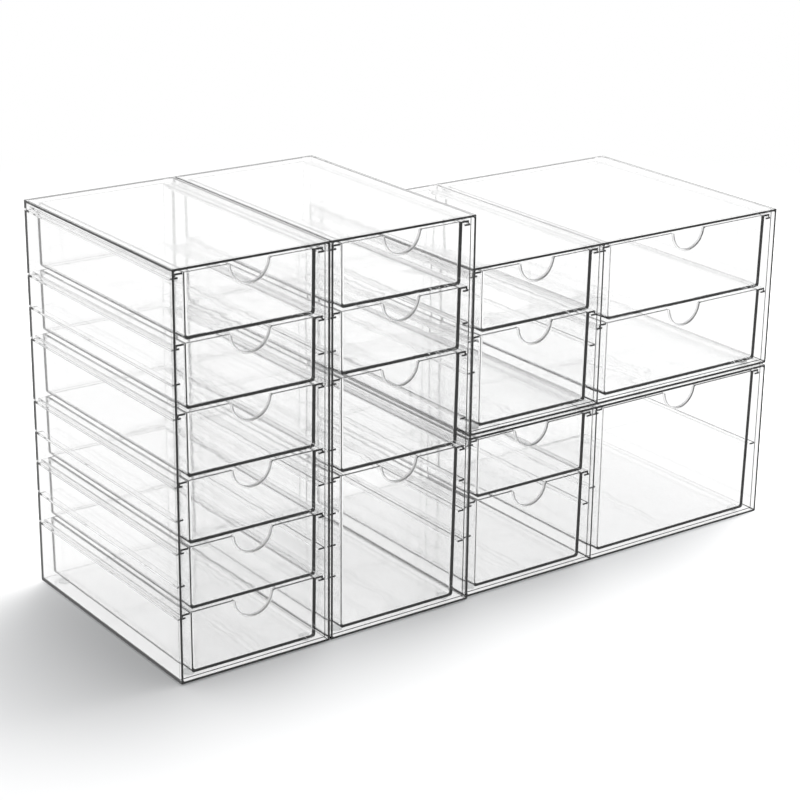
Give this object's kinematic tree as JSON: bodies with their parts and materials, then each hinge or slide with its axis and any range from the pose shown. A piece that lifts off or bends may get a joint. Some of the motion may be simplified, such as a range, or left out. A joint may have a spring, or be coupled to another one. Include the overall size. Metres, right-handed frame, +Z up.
{
  "type": "clear organizer drawer set",
  "caption": "Set of clear moulded casings, two tall and narrow and two wide and stacked, with trays that slide out on side ledges and finger notches in their fronts.",
  "frame": {"origin": "centre of the set's footprint, on the surface that it stands on", "axes": "+X along the fronts towards the wide casings, +Y from the drawer fronts to the back, +Z up"},
  "size_m": [0.5642, 0.219, 0.3082],
  "materials": {
    "clear_plastic": "water-clear moulded acrylic, polished, with faintly wavy walls and bright edges",
    "clear_rubber": "soft clear pads, slightly frosted"
  },
  "bodies": {
    "stand": {"left_tower_casing": "clear_plastic", "middle_tower_casing": "clear_plastic", "lower_wide_casing": "clear_plastic", "left_tower_foot_front_left": "clear_rubber", "left_tower_foot_back_left": "clear_rubber", "left_tower_foot_front_right": "clear_rubber", "left_tower_foot_back_right": "clear_rubber", "middle_tower_foot_front_left": "clear_rubber", "middle_tower_foot_back_left": "clear_rubber", "middle_tower_foot_front_right": "clear_rubber", "middle_tower_foot_back_right": "clear_rubber", "lower_wide_foot_front_left": "clear_rubber", "lower_wide_foot_back_left": "clear_rubber", "lower_wide_foot_front_right": "clear_rubber", "lower_wide_foot_back_right": "clear_rubber"},
    "upper_casing": {"upper_wide_casing": "clear_plastic", "upper_wide_foot_front_left": "clear_rubber", "upper_wide_foot_back_left": "clear_rubber", "upper_wide_foot_front_right": "clear_rubber", "upper_wide_foot_back_right": "clear_rubber"},
    "left_tower_drawer_1": {"left_tower_drawer_1": "clear_plastic"},
    "left_tower_drawer_2": {"left_tower_drawer_2": "clear_plastic"},
    "left_tower_drawer_3": {"left_tower_drawer_3": "clear_plastic"},
    "left_tower_drawer_4": {"left_tower_drawer_4": "clear_plastic"},
    "left_tower_drawer_5": {"left_tower_drawer_5": "clear_plastic"},
    "left_tower_drawer_6": {"left_tower_drawer_6": "clear_plastic"},
    "middle_tower_drawer_1": {"middle_tower_drawer_1": "clear_plastic"},
    "middle_tower_drawer_2": {"middle_tower_drawer_2": "clear_plastic"},
    "middle_tower_drawer_3": {"middle_tower_drawer_3": "clear_plastic"},
    "middle_tower_drawer_4": {"middle_tower_drawer_4": "clear_plastic"},
    "upper_narrow_drawer_1": {"upper_narrow_drawer_1": "clear_plastic"},
    "upper_narrow_drawer_2": {"upper_narrow_drawer_2": "clear_plastic"},
    "upper_wide_drawer_1": {"upper_wide_drawer_1": "clear_plastic"},
    "upper_wide_drawer_2": {"upper_wide_drawer_2": "clear_plastic"},
    "lower_narrow_drawer_1": {"lower_narrow_drawer_1": "clear_plastic"},
    "lower_narrow_drawer_2": {"lower_narrow_drawer_2": "clear_plastic"},
    "lower_wide_drawer": {"lower_wide_drawer": "clear_plastic"}
  },
  "joints": [
    {"name": "upper_casing_lift", "type": "slide", "parent": "stand", "child": "upper_casing", "axis": [0, 0, 1], "range_m": [0, 0.18]},
    {"name": "left_tower_drawer_1_slide", "type": "slide", "parent": "stand", "child": "left_tower_drawer_1", "axis": [0, -1, 0], "range_m": [0, 0.17]},
    {"name": "left_tower_drawer_2_slide", "type": "slide", "parent": "stand", "child": "left_tower_drawer_2", "axis": [0, -1, 0], "range_m": [0, 0.17]},
    {"name": "left_tower_drawer_3_slide", "type": "slide", "parent": "stand", "child": "left_tower_drawer_3", "axis": [0, -1, 0], "range_m": [0, 0.17]},
    {"name": "left_tower_drawer_4_slide", "type": "slide", "parent": "stand", "child": "left_tower_drawer_4", "axis": [0, -1, 0], "range_m": [0, 0.17]},
    {"name": "left_tower_drawer_5_slide", "type": "slide", "parent": "stand", "child": "left_tower_drawer_5", "axis": [0, -1, 0], "range_m": [0, 0.17]},
    {"name": "left_tower_drawer_6_slide", "type": "slide", "parent": "stand", "child": "left_tower_drawer_6", "axis": [0, -1, 0], "range_m": [0, 0.17]},
    {"name": "middle_tower_drawer_1_slide", "type": "slide", "parent": "stand", "child": "middle_tower_drawer_1", "axis": [0, -1, 0], "range_m": [0, 0.17]},
    {"name": "middle_tower_drawer_2_slide", "type": "slide", "parent": "stand", "child": "middle_tower_drawer_2", "axis": [0, -1, 0], "range_m": [0, 0.17]},
    {"name": "middle_tower_drawer_3_slide", "type": "slide", "parent": "stand", "child": "middle_tower_drawer_3", "axis": [0, -1, 0], "range_m": [0, 0.17]},
    {"name": "middle_tower_drawer_4_slide", "type": "slide", "parent": "stand", "child": "middle_tower_drawer_4", "axis": [0, -1, 0], "range_m": [0, 0.17]},
    {"name": "upper_narrow_drawer_1_slide", "type": "slide", "parent": "upper_casing", "child": "upper_narrow_drawer_1", "axis": [0, -1, 0], "range_m": [0, 0.17]},
    {"name": "upper_narrow_drawer_2_slide", "type": "slide", "parent": "upper_casing", "child": "upper_narrow_drawer_2", "axis": [0, -1, 0], "range_m": [0, 0.17]},
    {"name": "upper_wide_drawer_1_slide", "type": "slide", "parent": "upper_casing", "child": "upper_wide_drawer_1", "axis": [0, -1, 0], "range_m": [0, 0.17]},
    {"name": "upper_wide_drawer_2_slide", "type": "slide", "parent": "upper_casing", "child": "upper_wide_drawer_2", "axis": [0, -1, 0], "range_m": [0, 0.17]},
    {"name": "lower_narrow_drawer_1_slide", "type": "slide", "parent": "stand", "child": "lower_narrow_drawer_1", "axis": [0, -1, 0], "range_m": [0, 0.17]},
    {"name": "lower_narrow_drawer_2_slide", "type": "slide", "parent": "stand", "child": "lower_narrow_drawer_2", "axis": [0, -1, 0], "range_m": [0, 0.17]},
    {"name": "lower_wide_drawer_slide", "type": "slide", "parent": "stand", "child": "lower_wide_drawer", "axis": [0, -1, 0], "range_m": [0, 0.17]}
  ]
}
